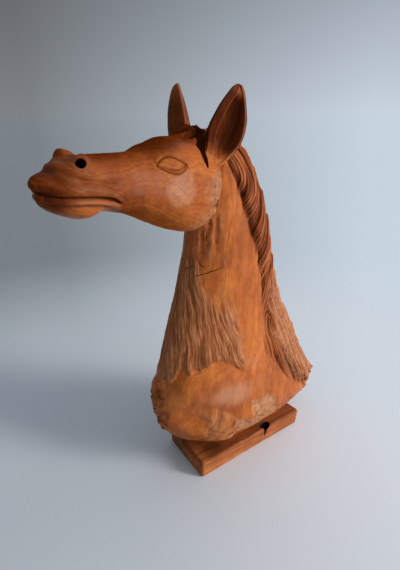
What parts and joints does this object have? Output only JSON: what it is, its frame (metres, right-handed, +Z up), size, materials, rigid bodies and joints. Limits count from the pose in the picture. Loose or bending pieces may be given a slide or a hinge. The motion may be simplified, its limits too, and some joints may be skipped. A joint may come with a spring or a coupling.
{
  "type": "carved wooden horse head",
  "caption": "Carved wooden horse head and neck on a plank plinth, facing forward with the head turned a little to its left; a free-standing ornament.",
  "frame": {"origin": "middle of the plinth's underside", "axes": "+Z up; the horse's neck faces -Y; +X is the horse's left"},
  "size_m": [0.1375, 0.4435, 0.5024],
  "materials": {
    "carved_wood": "hand carved, oiled to a satin orange brown, rough and greyish in the beard and on the chips",
    "plank_wood": "sawn plank, thinly oiled, worn edges"
  },
  "bodies": {
    "root": {"horse_head": "carved_wood", "plinth": "plank_wood"}
  },
  "joints": []
}
